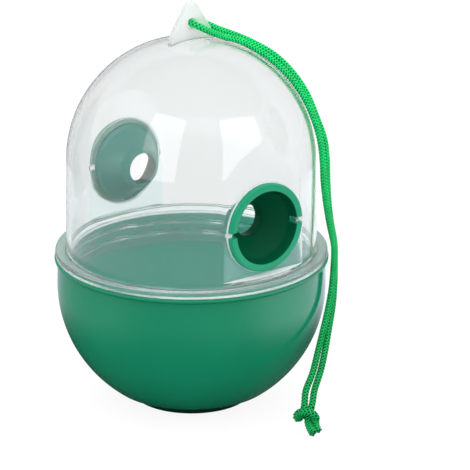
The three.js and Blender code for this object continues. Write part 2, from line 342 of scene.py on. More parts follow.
def node_material(name):
    """A material with its Principled shader, and a function that adds linked nodes to it."""
    material = bpy.data.materials.new(name)
    material.use_nodes = True
    tree = material.node_tree
    shader = next(n for n in tree.nodes if n.type == "BSDF_PRINCIPLED")

    def add(kind, **values):
        node = tree.nodes.new(kind)
        for key, value in values.items():
            if hasattr(node, key):
                setattr(node, key, value)
            else:
                socket = node.inputs[key.replace("_", " ")]
                if isinstance(value, bpy.types.NodeSocket):
                    tree.links.new(value, socket)
                else:
                    socket.default_value = value
        return node

    return material, tree, shader, add


def ramp(add, source, stops):
    """A colour ramp driven by a value, through (position, colour)."""
    node = add("ShaderNodeValToRGB", Fac=source)
    elements = node.color_ramp.elements
    while len(elements) < len(stops):
        elements.new(0.5)
    for element, (position, colour) in zip(elements, stops):
        element.position = position
        element.color = (*colour, 1) if len(colour) == 3 else (colour[0],) * 3 + (1,)
    return node.outputs["Color"]


def green_plastic(name, colour, roughness, specular):
    """Moulded polypropylene: slightly uneven in colour and gloss, with a faint orange peel."""
    material, tree, shader, add = node_material(name)
    place = add("ShaderNodeTexCoord").outputs["Object"]
    cloud = add("ShaderNodeTexNoise", Vector=place, Scale=38.0, Detail=3.0, Roughness=0.5)
    stops = [(0.3, [c * 0.94 for c in colour]), (0.7, [c * 1.05 for c in colour])]
    tree.links.new(ramp(add, cloud.outputs["Fac"], stops), shader.inputs["Base Color"])
    speckle = add("ShaderNodeTexNoise", Vector=place, Scale=900.0, Detail=2.0)
    sheen = [(0.3, (roughness * 0.88,)), (0.7, (roughness * 1.15,))]
    gloss = ramp(add, speckle.outputs["Fac"], sheen)
    tree.links.new(gloss, shader.inputs["Roughness"])
    peel = add("ShaderNodeTexNoise", Vector=place, Scale=260.0, Detail=3.0, Roughness=0.55)
    bump = add("ShaderNodeBump", Strength=0.06, Distance=0.0004, Height=peel.outputs["Fac"])
    tree.links.new(bump.outputs["Normal"], shader.inputs["Normal"])
    shader.inputs["Specular IOR Level"].default_value = specular
    return material


def clear_plastic(name, colour, transmission, low, high):
    """Slightly milky clear polypropylene, which lets light through to what is inside, with a
    roughness that wanders between low and high."""
    material, tree, shader, add = node_material(name)
    place = add("ShaderNodeTexCoord").outputs["Object"]
    cloud = add("ShaderNodeTexNoise", Vector=place, Scale=45.0, Detail=4.0, Roughness=0.6)
    gloss = ramp(add, cloud.outputs["Fac"], [(0.3, (low,)), (0.7, (high,))])
    tree.links.new(gloss, shader.inputs["Roughness"])
    shader.inputs["Base Color"].default_value = (*colour, 1)
    shader.inputs["IOR"].default_value = 1.45
    shader.inputs["Transmission Weight"].default_value = transmission
    through = add("ShaderNodeBsdfTransparent", Color=(0.95, 0.965, 0.96, 1))
    path = add("ShaderNodeLightPath")
    mix = add("ShaderNodeMixShader", Fac=path.outputs["Is Shadow Ray"])
    tree.links.new(shader.outputs["BSDF"], mix.inputs[1])
    tree.links.new(through.outputs["BSDF"], mix.inputs[2])
    output = next(n for n in tree.nodes if n.type == "OUTPUT_MATERIAL")
    tree.links.new(mix.outputs["Shader"], output.inputs["Surface"])
    return material


# Grey levels of painted shade and highlight across a yarn from edge to crest to edge, and of
# painted shade up the cord by height in metres.
YARN_PAINTED_SHADE_AND_HIGHLIGHT = [(0.0, (0.34,)), (0.12, (0.8,)), (0.25, (1.2,)), (0.38, (0.8,)), (0.5, (0.34,))]
CORD_PAINTED_SHADE_LOW = [(0.02, (0.54,)), (0.075, (1.0,))]


def cord_fibre(name, colour):
    """Shiny braided fibre: fine filaments along each yarn, and yarns a little unlike. Painted
    shade darkens each yarn at its edges, where it dips, a painted highlight lightens its crest,
    and painted shade darkens the cord lower down."""
    material, tree, shader, add = node_material(name)

    def worked(kind, operation, first, second):
        node = add(kind, operation=operation)
        tree.links.new(first, node.inputs[0])
        if isinstance(second, bpy.types.NodeSocket):
            tree.links.new(second, node.inputs[1])
        else:
            node.inputs[1].default_value = second
        return node.outputs[0]

    along = add("ShaderNodeUVMap", uv_map="yarn").outputs["UV"]
    stretch = add("ShaderNodeMapping", Vector=along, Scale=(9.0, 0.35, 1.0))
    filament = add("ShaderNodeTexNoise", Vector=stretch.outputs["Vector"], Scale=1.0, Detail=3.0)
    place = add("ShaderNodeTexCoord").outputs["Object"]
    patch = add("ShaderNodeTexNoise", Vector=place, Scale=420.0, Detail=2.0)
    both = worked("ShaderNodeMath", "ADD", filament.outputs["Fac"], patch.outputs["Fac"])
    mean = worked("ShaderNodeMath", "MULTIPLY", both, 0.5)
    stops = [(0.3, [c * 0.72 for c in colour]), (0.7, [min(1, c * 1.18) for c in colour])]
    dye_and_painted_shade = ramp(add, mean, stops)
    # Painted shade at each yarn's edges and a painted highlight on its crest, then painted shade
    # lower down the cord.
    crest = ramp(add, add("ShaderNodeSeparateXYZ", Vector=along).outputs["X"], YARN_PAINTED_SHADE_AND_HIGHLIGHT)
    painted_low_shade = ramp(add, add("ShaderNodeSeparateXYZ", Vector=place).outputs["Z"], CORD_PAINTED_SHADE_LOW)
    for factor in (crest, painted_low_shade):
        dye_and_painted_shade = worked("ShaderNodeVectorMath", "MULTIPLY", dye_and_painted_shade, factor)
    tree.links.new(dye_and_painted_shade, shader.inputs["Base Color"])
    bump = add("ShaderNodeBump", Strength=0.5, Distance=0.00005, Height=filament.outputs["Fac"])
    tree.links.new(bump.outputs["Normal"], shader.inputs["Normal"])
    shader.inputs["Roughness"].default_value = 0.4
    shader.inputs["Specular IOR Level"].default_value = 0.3
    return material


# ---------------------------------------------------------------- cord

YARNS_EACH_WAY = 4
BRAID_LEAD = 3.8  # mm along the cord for one turn of a yarn
RING_STEP = 0.22  # mm between the rings of a yarn
YARN_SIDES = 6
CORE_SIDES = 10
# The rest are shares of the cord's radius.
YARN_MIDDLE = 0.73
YARN_LIFT = 0.13  # how far a yarn rises over the others and dips under them
YARN_HALF_WIDTH = 0.235
YARN_HALF_THICKNESS = 0.18
CORE_RADIUS = 0.54


def spline(route, step):
    """Evenly spaced points on the centripetal Catmull-Rom curve through a route."""
    route = np.asarray(route, float)
    padded = np.vstack([2 * route[0] - route[1], route, 2 * route[-1] - route[-2]])
    points = []
    for p0, p1, p2, p3 in zip(padded, padded[1:], padded[2:], padded[3:]):
        k0 = 0.0
        k1 = k0 + math.sqrt(np.linalg.norm(p1 - p0))
        k2 = k1 + math.sqrt(np.linalg.norm(p2 - p1))
        k3 = k2 + math.sqrt(np.linalg.norm(p3 - p2))
        k = np.linspace(k1, k2, 40, endpoint=False)[:, None]
        a1 = (k1 - k) / (k1 - k0) * p0 + (k - k0) / (k1 - k0) * p1
        a2 = (k2 - k) / (k2 - k1) * p1 + (k - k1) / (k2 - k1) * p2
        a3 = (k3 - k) / (k3 - k2) * p2 + (k - k2) / (k3 - k2) * p3
        b1 = (k2 - k) / (k2 - k0) * a1 + (k - k0) / (k2 - k0) * a2
        b2 = (k3 - k) / (k3 - k1) * a2 + (k - k1) / (k3 - k1) * a3
        points.append((k2 - k) / (k2 - k1) * b1 + (k - k1) / (k2 - k1) * b2)
    points.append(route[-1:])
    points = np.vstack(points)
    along = np.concatenate([[0], np.cumsum(np.linalg.norm(np.diff(points, axis=0), axis=1))])
    even = np.linspace(0, along[-1], max(2, round(along[-1] / step) + 1))
    return np.stack([np.interp(even, along, points[:, axis]) for axis in range(3)], axis=1)


def placed(points):
    """Points of the cord's turned frame in the trap's own frame, mm."""
    c, s = math.cos(CORD_TURN), math.sin(CORD_TURN)
    return np.asarray(points, float) @ np.array([[c, s, 0], [-s, c, 0], [0, 0, 1]])


def carried_frames(line):
    """Two unit vectors across a line at each point, turning with it as little as they can."""
    tangent = np.gradient(line, axis=0)
    tangent /= np.linalg.norm(tangent, axis=1)[:, None]
    across = np.cross(tangent[0], (0.3, 0.2, 1.0))
    sides = []
    for t in tangent:
        across = across - t * (across @ t)
        across = across / np.linalg.norm(across)
        sides.append(across)
    sides = np.array(sides)
    return sides, np.cross(tangent, sides)


def tube_ring(middle, across, out, radius, half_width, half_thickness, sides):
    """Rings of points round a line, as wide and thick as those shares of the radius."""
    turn = np.linspace(0, TURN, sides, endpoint=False)
    return (
        middle[:, None]
        + across[:, None] * (radius * half_width * np.cos(turn))[:, :, None]
        + out[:, None] * (radius * half_thickness * np.sin(turn))[:, :, None]
    )


def yarn_ring(line, sides, along, radius, way, yarn):
    """Rings of points round one yarn, which turns round the line and weaves in and out."""
    side, other = sides
    crossing = 2 * YARNS_EACH_WAY * along / BRAID_LEAD
    phase = crossing + 2 * yarn if way > 0 else 2 * yarn - crossing
    lift = way * np.cos(math.pi / 2 * (phase - 0.5))
    turn = TURN * yarn / YARNS_EACH_WAY + way * TURN * along / BRAID_LEAD
    out = np.cos(turn)[:, None] * side + np.sin(turn)[:, None] * other
    middle = line + out * radius * (YARN_MIDDLE + YARN_LIFT * lift)[:, None]
    run = np.gradient(middle, axis=0)
    run /= np.linalg.norm(run, axis=1)[:, None]
    shares = (YARN_HALF_WIDTH, YARN_HALF_THICKNESS, YARN_SIDES)
    return tube_ring(middle, np.cross(run, out), out, radius, *shares)


def add_tube(points, faces, ring):
    """Adds one closed tube to a list of point arrays and a list of faces."""
    count, sides = ring.shape[:2]
    base = sum(len(block) for block in points)
    index = base + np.arange(count * sides).reshape(count, sides)
    here, there = index[:-1], index[1:]
    around = [here, there, np.roll(there, -1, axis=1), np.roll(here, -1, axis=1)]
    faces += np.stack(around, axis=-1).reshape(-1, 4).tolist()
    faces.append(index[0].tolist())
    faces.append(index[-1][::-1].tolist())
    points.append(ring.reshape(-1, 3))


def yarn_map(along, sides, offset):
    """Across and along a yarn at each of its points, in turns and in cord radii."""
    across = np.tile(np.arange(sides) / sides, len(along))
    return np.stack([across, np.repeat(along / CORD_DIAMETER * 2, sides) + offset], axis=1)


def braid(name, lines, materials):
    """An 8-carrier braid along each line, (points, first ring, last ring, ring at the knot):
    four yarns each way round, over two and under two, on a plain core. All in one mesh, with
    a map that runs across and along each yarn: the yarn's crest is at a quarter across."""
    points, faces, yarn_maps, cores = [], [], [], []
    for line, first, last, knot in lines:
        sides = carried_frames(line)
        along = np.arange(len(line)) * np.linalg.norm(line[1] - line[0])
        rings = slice(first, last)
        swell = KNOT_SWELL * smooth_step((along - along[knot]) / KNOT_SWELL_OVER)
        radius = (CORD_DIAMETER / 2 * (1 + swell))[:, None]
        for way in (1, -1):
            for yarn in range(YARNS_EACH_WAY):
                add_tube(points, faces, yarn_ring(line, sides, along, radius, way, yarn)[rings])
                yarn_maps.append(yarn_map(along[rings], YARN_SIDES, 7.3 * yarn + 31 * way))
        start = len(faces)
        core = tube_ring(line, *sides, radius, CORE_RADIUS, CORE_RADIUS, CORE_SIDES)[rings]
        add_tube(points, faces, core)
        yarn_maps.append(yarn_map(along[rings], CORE_SIDES, 0))
        cores.append((start, start + CORE_SIDES * (len(core) - 1)))
    obj = make_object(name, np.vstack(points), faces, sharp=70)
    for material in materials:
        obj.data.materials.append(material)
    # The core takes the second, darker material: painted shade in the gaps between the yarns.
    for start, end in cores:
        for face in obj.data.polygons[start:end]:
            face.material_index = 1  # the core
    layer = obj.data.uv_layers.new(name="yarn")
    corner = np.empty(len(obj.data.loops), np.int32)
    obj.data.loops.foreach_get("vertex_index", corner)
    layer.data.foreach_set("uv", np.vstack(yarn_maps)[corner].astype(np.float32).ravel())
    return obj


def knot_loop():
    """The front strand's loop, most of an ellipse that leans forward at its top and right."""
    loop = []
    for angle in np.radians(np.linspace(KNOT_LOOP_START, KNOT_LOOP_END, 9)):
        right, up = math.cos(angle), math.sin(angle)
        forward = KNOT_LEAN_TOP * up + KNOT_LEAN_RIGHT * right
        loop.append((KNOT_LOOP_ACROSS * right, -forward, KNOT_LOOP_UP * up))
    return [tuple(np.add(point, KNOT_LOOP_MIDDLE)) for point in loop]


def cord_lines():
    """Each strand's whole centreline from the lug through the knot to its cut end, and the
    ring at which the knot starts."""
    lines = []
    front_knot = FRONT_KNOT_IN + knot_loop() + FRONT_TAIL
    for route, knot in ((FRONT_ROUTE, front_knot), (BACK_ROUTE, BACK_KNOT)):
        through = [tuple(point) for point in np.array(knot) + KNOT_CENTRE]
        line = placed(spline(route + through, RING_STEP))
        end = placed([route[-1]])[0]
        lines.append((line, int(np.linalg.norm(line - end, axis=1).argmin())))
    return lines


def add_cord():
    materials = [
        cord_fibre("cord_fibre", (0.001, 0.82, 0.2)),
        # The core's dark green is painted shade, seen between the yarns.
        cord_fibre("cord_core_painted_shade", (0.0005, 0.2, 0.07)),
    ]
    (front, front_end), (back, back_end) = cord_lines()
    knot = braid(
        "knot_and_ends",
        [(front, front_end, len(front), front_end), (back, back_end, len(back), back_end)],
        materials,
    )
    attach(knot, "dome")
    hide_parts("cord_knot")
    for name, node, line, end, length in (
        ("front_strand", "cord_front_strand", front, front_end, 0.137),
        ("back_strand", "cord_back_strand", back, back_end, 0.141),
    ):
        strand = braid(name, [(line, 0, end + 1, end)], materials)
        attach(strand, "dome")
        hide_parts(node)


# ---------------------------------------------------------------- bowl


BOWL_OUTSIDE, BOWL_INSIDE_PAINTED_LIGHT, BOWL_FOOT_PAINTED_SHADE = range(3)  # material slots


def bowl_finish(centre, normal):
    """The material slot of a face of the bowl, from its middle in millimetres."""
    # Faces low on the foot take painted shade.
    if centre.z < FOOT_HEIGHT + FOOT_SHADE_REACH:
        return BOWL_FOOT_PAINTED_SHADE
    # The bowl's inward faces take a brighter green: painted light.
    within = centre.z > BOWL_FLOOR_Z - 0.1 and centre.xy.length < BOWL_BORE + 0.1
    faces_in = centre.xy.dot(normal.xy) < -2 or normal.z > 0.8
    return BOWL_INSIDE_PAINTED_LIGHT if within and faces_in else BOWL_OUTSIDE


def add_bowl():
    lip_z = RIM_Z - BOWL_LIP_HEIGHT
    inner_depth = BOWL_DEPTH - (BOWL_RADIUS - BOWL_BORE)
    gate_z = FOOT_HEIGHT - GATE_HEIGHT
    outline = filleted(
        [
            (GATE_RADIUS, gate_z, 0),
            (GATE_RADIUS + 0.3, FOOT_HEIGHT, 0.1),
            (FOOT_RADIUS - FOOT_WALL - 0.3, FOOT_HEIGHT, 0.3),
            (FOOT_RADIUS - FOOT_WALL, 0, 0.3),
            (FOOT_RADIUS - 0.15, 0, 0.4),
            (FOOT_RADIUS, FOOT_HEIGHT + 1.0, 0.2),
            (FOOT_RADIUS + 2, FOOT_HEIGHT + 1.2, 0.6),
            *ellipse(BOWL_CENTRE_Z, BOWL_RADIUS, BOWL_DEPTH, BOWL_ROUND_Z, BOWL_CENTRE_Z, 70),
            (LIP_RADIUS - 0.9, lip_z - 0.35, 0.5),
            (LIP_RADIUS, lip_z + 0.2, 0.5),
            (LIP_RADIUS, RIM_Z, 0.55),
            (BOWL_BORE, RIM_Z, 0.4),
            *ellipse(BOWL_CENTRE_Z, BOWL_BORE, inner_depth, BOWL_CENTRE_Z, BOWL_FLOOR_Z, 60),
            (1.2, BOWL_FLOOR_Z, 0),
        ]
    )
    shell = skin(turned(outline), (0, 0, gate_z), (0, 0, BOWL_FLOOR_Z))
    bowl = make_object("bowl_moulding", *shell)
    bowl.data.materials.append(green_plastic("green_bowl", (0.0062, 0.224, 0.113), 0.12, 0.5))
    # The inside's brighter green is painted light, for light coming through the bowl's walls.
    bowl.data.materials.append(green_plastic("green_bowl_inside_painted_light", (0.002, 0.5, 0.37), 0.3, 0.2))
    # The foot's dark green is painted shade under the bowl's round.
    bowl.data.materials.append(green_plastic("green_foot_painted_shade", (0.001, 0.045, 0.026), 0.3, 0.2))
    for face in bowl.data.polygons:
        face.material_index = bowl_finish(face.center / MM, face.normal)
    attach(bowl, "bowl")
    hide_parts("bowl")


# ---------------------------------------------------------------- dome


def dome_angles():
    """Angles of the dome's columns, closer where the flats meet the round wall."""
    edge = math.degrees(math.asin(FLAT_Y / DOME_RADIUS))
    quarter = [0.0]
    while quarter[-1] < 89.9:
        away = abs(quarter[-1] - edge)
        quarter.append(quarter[-1] + (0.4 if away < 4.5 else 1.0 if away < 8 else 2.0))
    quarter = np.array(quarter) * 90 / quarter[-1]
    half = np.concatenate([quarter[:-1], 180 - quarter[:0:-1]])
    return np.radians(np.concatenate([half, half + 180]))


def dome_surface(angle, sink, shelf_z):
    """The wall's rows from near the pole down to the ledge, sunk inwards by the wall or not,
    with the functions that give a row and the wall's radius at a height."""
    sine = np.maximum(np.abs(np.sin(angle)), 1e-6)
    across = np.stack([np.cos(angle), np.sin(angle)], axis=1)
    flat = FLAT_Y - sink

    def wall(z):
        rise = (z - FLANGE_Z - FLANGE_HEIGHT) / (DOME_CENTRE_Z - FLANGE_Z - FLANGE_HEIGHT)
        return WALL_FOOT_RADIUS + (DOME_RADIUS - WALL_FOOT_RADIUS) * rise - sink

    def row(radius, z):
        radius, z = (np.broadcast_to(value, angle.shape) for value in (radius, z))
        return np.column_stack([across * radius[:, None], z])

    rows = []
    # The ball's rows are closer where it meets the flats' tops.
    upper, middle = np.arange(85, 25, -2.0), np.arange(24.5, 13.5, -0.55)
    lower = np.arange(13, 0, -1.6)
    for tilt in np.radians([88.8, 87, *upper, *middle, *lower]):
        ball = smooth_min(DOME_RADIUS - sink, flat / (math.cos(tilt) * sine), FLAT_EDGE)
        rows.append(row(ball * math.cos(tilt), DOME_CENTRE_Z + ball * math.sin(tilt)))
    for z in np.linspace(DOME_CENTRE_Z, shelf_z + 0.7, 16):
        rows.append(row(smooth_min(wall(z), flat / sine, FLAT_EDGE), z))
    full = np.full(angle.shape, wall(shelf_z))
    cut = smooth_min(full, flat / sine, FLAT_EDGE)
    fillet = np.minimum(0.45, (full - cut) * 0.4)
    drop = np.maximum(fillet, 0.12)
    for bend in np.linspace(0, math.pi / 2, 5):
        z = shelf_z + drop * (1 - math.sin(bend))
        rows.append(row(cut + fillet * (1 - math.cos(bend)), z))
    for bend in np.linspace(0, math.pi / 2, 5):
        z = shelf_z - 0.02 - drop * (1 - math.cos(bend))
        rows.append(row(full - fillet * (1 - math.sin(bend)), z))
    return rows, row, wall


def thread_lift(angle, z):
    """How far the thread stands out of the skirt."""
    lift = np.zeros(angle.shape)
    for turns in range(-1, 3):
        at = angle / TURN + turns
        ends = smooth_step((at - THREAD_START) / 0.05) * smooth_step((THREAD_END - at) / 0.05)
        away = np.abs(z - THREAD_Z - THREAD_PITCH * at)
        lift = np.maximum(lift, ends * smooth_step((0.75 - away) / 0.5))
    return THREAD_HEIGHT * lift


def dome_shell():
    angle = dome_angles()
    outer, row, wall = dome_surface(angle, 0, SHELF_Z)
    flange_top = FLANGE_Z + FLANGE_HEIGHT
    flange = filleted(
        [
            (wall(SHELF_Z - 0.5), SHELF_Z - 0.5, 0),
            (WALL_FOOT_RADIUS, flange_top, 0.35),
            (FLANGE_RADIUS, flange_top, 0.45),
            (FLANGE_RADIUS, FLANGE_Z, 0.35),
            (SKIRT_RADIUS, FLANGE_Z, 0.3),
            (SKIRT_RADIUS, FLANGE_Z - 0.4, 0),
        ],
        spacing=0.8,
    )
    rows = outer + [row(radius, z) for radius, z in flange]
    for z in np.arange(FLANGE_Z - 0.6, SKIRT_Z + 0.4, -0.23):
        rows.append(row(SKIRT_RADIUS + thread_lift(angle, z), z))
    inner, _, inner_wall = dome_surface(angle, DOME_WALL, SHELF_Z - DOME_WALL)
    lip = filleted(
        [
            (SKIRT_RADIUS, SKIRT_Z + 0.35, 0),
            (SKIRT_RADIUS, SKIRT_Z, 0.3),
            (inner_wall(SKIRT_Z), SKIRT_Z, 0.3),
            (inner_wall(SHELF_Z - DOME_WALL - 0.7), SHELF_Z - DOME_WALL - 0.7, 0),
        ]
    )
    rows += [row(radius, z) for radius, z in lip]
    rows += inner[::-1]
    top = DOME_CENTRE_Z + DOME_RADIUS
    return skin(rows, (0, 0, top), (0, 0, top - DOME_WALL))


def lug_reach(angle):
    """Distance from the lug's hole to its outline in each direction."""
    top = OVERALL_HEIGHT - LUG_TOP_RADIUS
    shoulder = np.array((LUG_TOP_RADIUS + 2.7, top - 3.6))
    foot = np.array((LUG_BASE_HALF, LUG_BASE_Z))
    pull = np.array((LUG_BASE_HALF - 0.3, LUG_BASE_Z + 3))
    flare = [
        foot * (1 - t) ** 2 + 2 * pull * t * (1 - t) + shoulder * t * t
        for t in np.linspace(0, 1, 14)
    ]
    crown = [
        np.array((math.cos(a), math.sin(a))) * LUG_TOP_RADIUS + (0, top)
        for a in np.linspace(math.pi / 6, math.pi / 2, 12)
    ]
    right = np.array(flare + crown)
    outline = np.vstack([right, right[-2::-1] * (-1, 1)]) - (0, LUG_HOLE_Z)
    step = np.roll(outline, -1, axis=0) - outline
    reach = []
    for a in angle:
        ray = np.array((math.cos(a), math.sin(a)))
        normal = np.array((-ray[1], ray[0]))
        slope = step @ normal
        missed = np.full(len(slope), -1.0)
        share = np.divide(-(outline @ normal), slope, out=missed, where=np.abs(slope) > 1e-9)
        hit = (share >= 0) & (share <= 1)
        far = (outline + step * share[:, None]) @ ray
        reach.append(far[hit & (far > 0)].max())
    return np.array(reach)


def lug():
    """The hanging plate with its hole and rounded edges, a ring of strips round the hole."""
    angle = np.linspace(0, TURN, 200, endpoint=False)
    reach = lug_reach(angle)
    half = LUG_THICKNESS / 2
    edge = [(0, half - 0.45), (0.12, half - 0.18), (0.35, half - 0.04), (0.6, half)]
    hole = [LUG_HOLE_RADIUS + inset for inset, _ in edge]
    front = [(np.full(angle.shape, r), y) for r, (_, y) in zip(hole, edge)]
    front += [(reach * t + hole[-1] * (1 - t), half) for t in (0.3, 0.6)]
    front += [(reach - inset, y) for inset, y in edge[::-1]]
    loop = front + [(radius, -y) for radius, y in front[::-1]]
    rows = []
    for radius, y in loop:
        x, z = radius * np.cos(angle), LUG_HOLE_Z + radius * np.sin(angle)
        rows.append(np.column_stack([x, np.full(angle.shape, y), z]))
    return skin(rows, wrap=True)


FUNNEL_PLACES = ((-1, FRONT_FUNNEL_Z), (1, BACK_FUNNEL_Z))  # side along Y, and height


def keys():
    """Raised keys beside each funnel hole, which stop the funnels turning."""
    parts = []
    for side, height in FUNNEL_PLACES:
        for end in (-1, 1):
            x = sorted((end * (HOLE_RADIUS - 0.05), end * (FUNNEL_FLANGE_RADIUS + 0.6)))
            y = sorted((side * (FLAT_Y - 0.5), side * (FLAT_Y + KEY_HEIGHT)))
            z = (height - KEY_WIDTH / 2, height + KEY_WIDTH / 2)
            parts.append(rounded_box(*zip(x, y, z), 0.18))
    return parts


def rims():
    """A thin raised rim on each flat, round the funnel's flange."""
    inside = FUNNEL_FLANGE_RADIUS + RIM_GAP
    outside = inside + RIM_WALL
    low, high = FLAT_Y - 0.3, FLAT_Y + RIM_HEIGHT
    start = (inside, (low + high) / 2, 0)
    outline = filleted(
        [
            start,
            (inside, low, 0),
            (outside, low, 0),
            (outside, high, 0.15),
            (inside, high, 0.15),
            start,
        ]
    )
    points, faces = skin(turned(outline[:-1], 160), wrap=True)
    return [
        ([(x, side * y, z + height) for x, z, y in points], faces)
        for side, height in FUNNEL_PLACES
    ]


def hole_bars():
    """A bar to cut each funnel's hole, from the dome's axis out past its wall."""
    parts = []
    for side, height in FUNNEL_PLACES:
        low, high = sorted((0, -side * LIP_RADIUS))
        walls = turned([(HOLE_RADIUS, low), (HOLE_RADIUS, high)], 160)
        points, faces = skin(walls, (0, 0, low), (0, 0, high))
        parts.append(([(x, -z, y + height) for x, y, z in points], faces))
    return parts


DOME_CLEAR, DOME_MILKY, DOME_FLANGE, DOME_FLAT, DOME_SHELF = range(5)  # material slots


def dome_finish(centre, normal):
    """The material slot of a face of the dome, from its middle in millimetres."""
    x, y, z = centre
    funnel_z = BACK_FUNNEL_Z if y > 0 else FRONT_FUNNEL_Z
    if abs(y) > FLAT_Y - 0.3 and abs(z - SHELF_Z) < 0.3 and abs(normal.z) > 0.6:
        return DOME_SHELF
    if z > LUG_BASE_Z + 0.6 and abs(y) < LUG_THICKNESS / 2 + 0.05:
        return DOME_MILKY
    if y < -FLAT_Y - 0.05 and SHELF_Z + 0.5 < z < DOME_CENTRE_Z + DOME_RADIUS:
        return DOME_MILKY
    if FLANGE_Z - 0.05 < z < FLANGE_Z + FLANGE_HEIGHT + 0.1:
        return DOME_FLANGE
    behind_funnel = y > 0 and math.hypot(x, z - funnel_z) < FLAT_TINT_RADIUS
    if abs(normal.y) > 0.97 and FLAT_Y - 0.3 < abs(y) < FLAT_Y + 0.05:
        return DOME_FLAT if z < funnel_z or behind_funnel else DOME_CLEAR
    return DOME_CLEAR


def add_dome():
    dome = make_object("dome_moulding", *dome_shell())
    combine(dome, "UNION", rims())
    combine(dome, "DIFFERENCE", hole_bars())
    combine(dome, "UNION", [lug()])
    combine(dome, "UNION", keys())
    dome.data.materials.clear()
    for name, colour, transmission, low, high in (
        ("clear_dome", (0.893, 0.905, 0.905), 0.965, 0.01, 0.03),
        ("milky_dome", (0.9, 0.93, 0.915), 0.52, 0.3, 0.36),
        ("flange_dome", (0.88, 0.96, 0.945), 0.92, 0.15, 0.2),
        ("flat_dome", (0.8, 0.97, 0.99), 0.85, 0.03, 0.05),
        ("shelf_dome", (0.94, 0.98, 0.97), 0.3, 0.3, 0.36),
    ):
        dome.data.materials.append(clear_plastic(name, colour, transmission, low, high))
    for face in dome.data.polygons:
        face.material_index = dome_finish(face.center / MM, face.normal)
    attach(dome, "dome")
    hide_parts("dome")


# ---------------------------------------------------------------- funnels


CONE_FINISH, FACE_FINISH, INSIDE_PAINTED_SHADE = range(3)  # material slots


def funnel_finish(centre, normal, height):
    """The material slot of a face of a funnel, from its middle in millimetres."""
    from_axis = Vector((centre.x, 0, centre.z - height))
    faces_in = from_axis.normalized().dot(normal) < -0.25
    # The mouth's inward faces take a dark green: painted shade.
    if faces_in and from_axis.length < MOUTH_RADIUS + 0.1:
        return INSIDE_PAINTED_SHADE
    return FACE_FINISH if abs(centre.y) > FUNNEL_FLANGE_FOOT - 0.1 else CONE_FINISH


def funnel_cuts():
    """Notches for the dome's keys, and the slits beside the tab."""
    cuts = []
    for end in (-1, 1):
        x = sorted((end * (MOUTH_RADIUS - 0.9), end * (FUNNEL_FLANGE_RADIUS + 1)))
        y = (-NOTCH_WIDTH / 2, NOTCH_WIDTH / 2)
        z = (FUNNEL_FLANGE_FOOT - 1, FUNNEL_FACE + 1)
        cuts.append(rounded_box(*zip(x, y, z), 0.12))
        middle = end * (TAB_WIDTH + SLIT_WIDTH) / 2
        x = (middle - SLIT_WIDTH / 2, middle + SLIT_WIDTH / 2)
        y = (-SNAP_RADIUS - 1, -MOUTH_RADIUS + 0.2)
        z = (COLLAR_END - 1, FLAT_Y - 0.2)
        cuts.append(rounded_box(*zip(x, y, z), 0.12))
    return cuts


def funnel(name, side, height, body, node, materials):
    """An entry funnel: flange, snap collar, cone and throat, with notches for the dome's keys
    and two slits that let its tab spring. Turned about Z, then laid along Y."""
    outline = filleted(
        [
            (8.2, 29.28, 0),
            (COLLAR_RADIUS - 0.9, COLLAR_END, 0.3),
            (SNAP_RADIUS, COLLAR_END + 0.35, 0.1),
            (SNAP_RADIUS, COLLAR_END + 0.6, 0.1),
            (COLLAR_RADIUS, COLLAR_END + 0.9, 0.1),
            (COLLAR_RADIUS, FUNNEL_FLANGE_FOOT, 0.15),
            (FUNNEL_FLANGE_RADIUS, FUNNEL_FLANGE_FOOT, 0.15),
            (FUNNEL_FLANGE_RADIUS, FUNNEL_FACE, 0.5),
            (MOUTH_RADIUS, FUNNEL_FACE, 0.45),
            (MOUTH_RADIUS - 0.65, COLLAR_END + 1.2, 1.2),
            (THROAT_RADIUS, THROAT_START + 0.2, 1.0),
            (THROAT_RADIUS, THROAT_END, 0.4),
            (THROAT_OUTER, THROAT_END, 0.4),
            (THROAT_OUTER, THROAT_START, 0.5),
            (8.0, 29.09, 0),
        ],
        spacing=0.9,
    )
    piece = make_object(name, *skin(turned(outline, 200), wrap=True), sharp=35)
    combine(piece, "DIFFERENCE", funnel_cuts(), sharp=35)
    for vertex in piece.data.vertices:
        x, y, z = vertex.co
        vertex.co = (x * side, z * side, y + height * MM)
    piece.data.flip_normals()
    piece.data.materials.clear()
    for material in materials:
        piece.data.materials.append(material)
    for face in piece.data.polygons:
        face.material_index = funnel_finish(face.center / MM, face.normal, height)
    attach(piece, body)
    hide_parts(node)


def add_funnels():
    materials = [
        green_plastic("green_funnel_cone", (0.0001, 0.255, 0.2), 0.2, 0.5),
        green_plastic("green_funnel_face", (0.0011, 0.31, 0.155), 0.3, 0.4),
        # The dark green inside the mouth and cone is painted shade.
        green_plastic("green_funnel_inside_painted_shade", (0.0001, 0.082, 0.034), 0.4, 0.06),
    ]
    for (side, height), end in zip(FUNNEL_PLACES, ("front", "back")):
        body, node = f"{end}_funnel", f"entry_funnel_{end}"
        funnel(f"{end}_funnel_moulding", side, height, body, node, materials)


# ---------------------------------------------------------------- studio

LEFT_SIDE = 0.35  # brightness of the studio where glossy surfaces mirror it
RIGHT_SIDE = 1.0
DARK_SIDE = 0.25  # and the share of it left behind the camera
SKY_HORIZON = 1.0
SKY_TOP = 2.6
FLOOR_REACH = 5.0  # metres from its middle to each edge
FLOOR_BOUNCE = 0.55  # its grey where it lights the trap
FLOOR_GREY = 0.12  # its grey where it is looked at, and its glow
FLOOR_GLOW = 0.9
MIRROR_TINT = (0.9, 1.0, 1.12, 1)
SHADE_FROM, SHADE_TO = 0.05, 0.11  # metres from the middle over which the trap's shade fades
POOL_FROM, POOL_TO = 0.225, 0.25  # and over which the bright pool of floor round it ends
SOFTBOX_DISTANCE = 1.1
SOFTBOX_RADIANCE = 1.9


